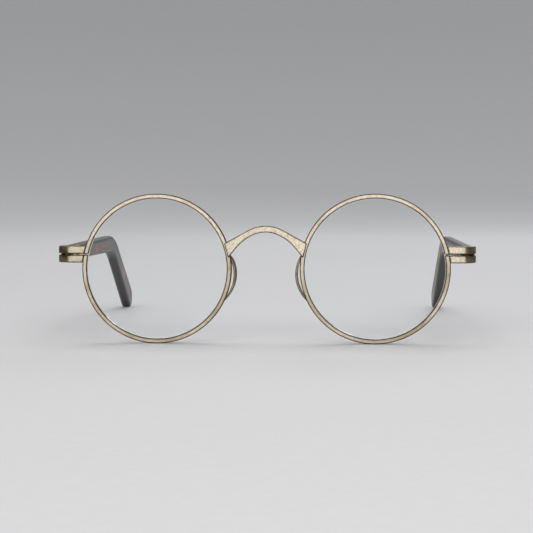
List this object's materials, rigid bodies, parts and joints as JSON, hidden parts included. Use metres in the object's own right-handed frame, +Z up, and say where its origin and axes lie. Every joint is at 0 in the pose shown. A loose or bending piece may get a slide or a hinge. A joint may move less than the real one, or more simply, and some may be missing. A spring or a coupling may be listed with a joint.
{
  "type": "round wire eyeglasses",
  "caption": "Round wire eyeglasses with an arched flat bridge, clear lenses, ribbed endpieces and folding tortoiseshell-pattern temples with paddle tips.",
  "frame": {"origin": "middle of the open glasses' outline, on the surface that they stand on", "axes": "+X to the wearer's left, -Y out of the front of the lenses, +Z up; temples open"},
  "size_m": [0.1334, 0.1494, 0.0476],
  "materials": {
    "antique_brass": "antique brass, brushed on the front faces and dark in the recesses",
    "hinge_metal": "antique brass, satin",
    "screw_steel": "small turned screws",
    "core_wire": "nickel silver wire inside the acetate",
    "tortoiseshell_acetate": "satin cellulose acetate, dark brown with amber and red streaks",
    "lens": "clear, polished"
  },
  "bodies": {
    "front": {"bridge": "antique_brass", "endpiece_lower_left": "antique_brass", "endpiece_lower_right": "antique_brass", "endpiece_upper_left": "antique_brass", "endpiece_upper_right": "antique_brass", "hinge_front_left": "hinge_metal", "hinge_front_right": "hinge_metal", "hinge_screw_left": "screw_steel", "hinge_screw_right": "screw_steel", "lens_left": "lens", "lens_right": "lens", "nose_wing_left": "antique_brass", "nose_wing_right": "antique_brass", "rim_left": "antique_brass", "rim_lock_screw_left": "screw_steel", "rim_lock_screw_right": "screw_steel", "rim_right": "antique_brass"},
    "left_temple": {"hinge_temple_left": "hinge_metal", "temple_core_left": "core_wire", "temple_left": "tortoiseshell_acetate"},
    "right_temple": {"hinge_temple_right": "hinge_metal", "temple_core_right": "core_wire", "temple_right": "tortoiseshell_acetate"}
  },
  "joints": [
    {"name": "left_temple_fold", "type": "hinge", "parent": "front", "child": "left_temple", "pos_m": [0.0617, -0.06434, 0.0283], "axis": [0, 0, 1], "range_deg": [0, 91]},
    {"name": "right_temple_fold", "type": "hinge", "parent": "front", "child": "right_temple", "pos_m": [-0.0617, -0.06434, 0.0283], "axis": [0, 0, -1], "range_deg": [0, 83]}
  ]
}
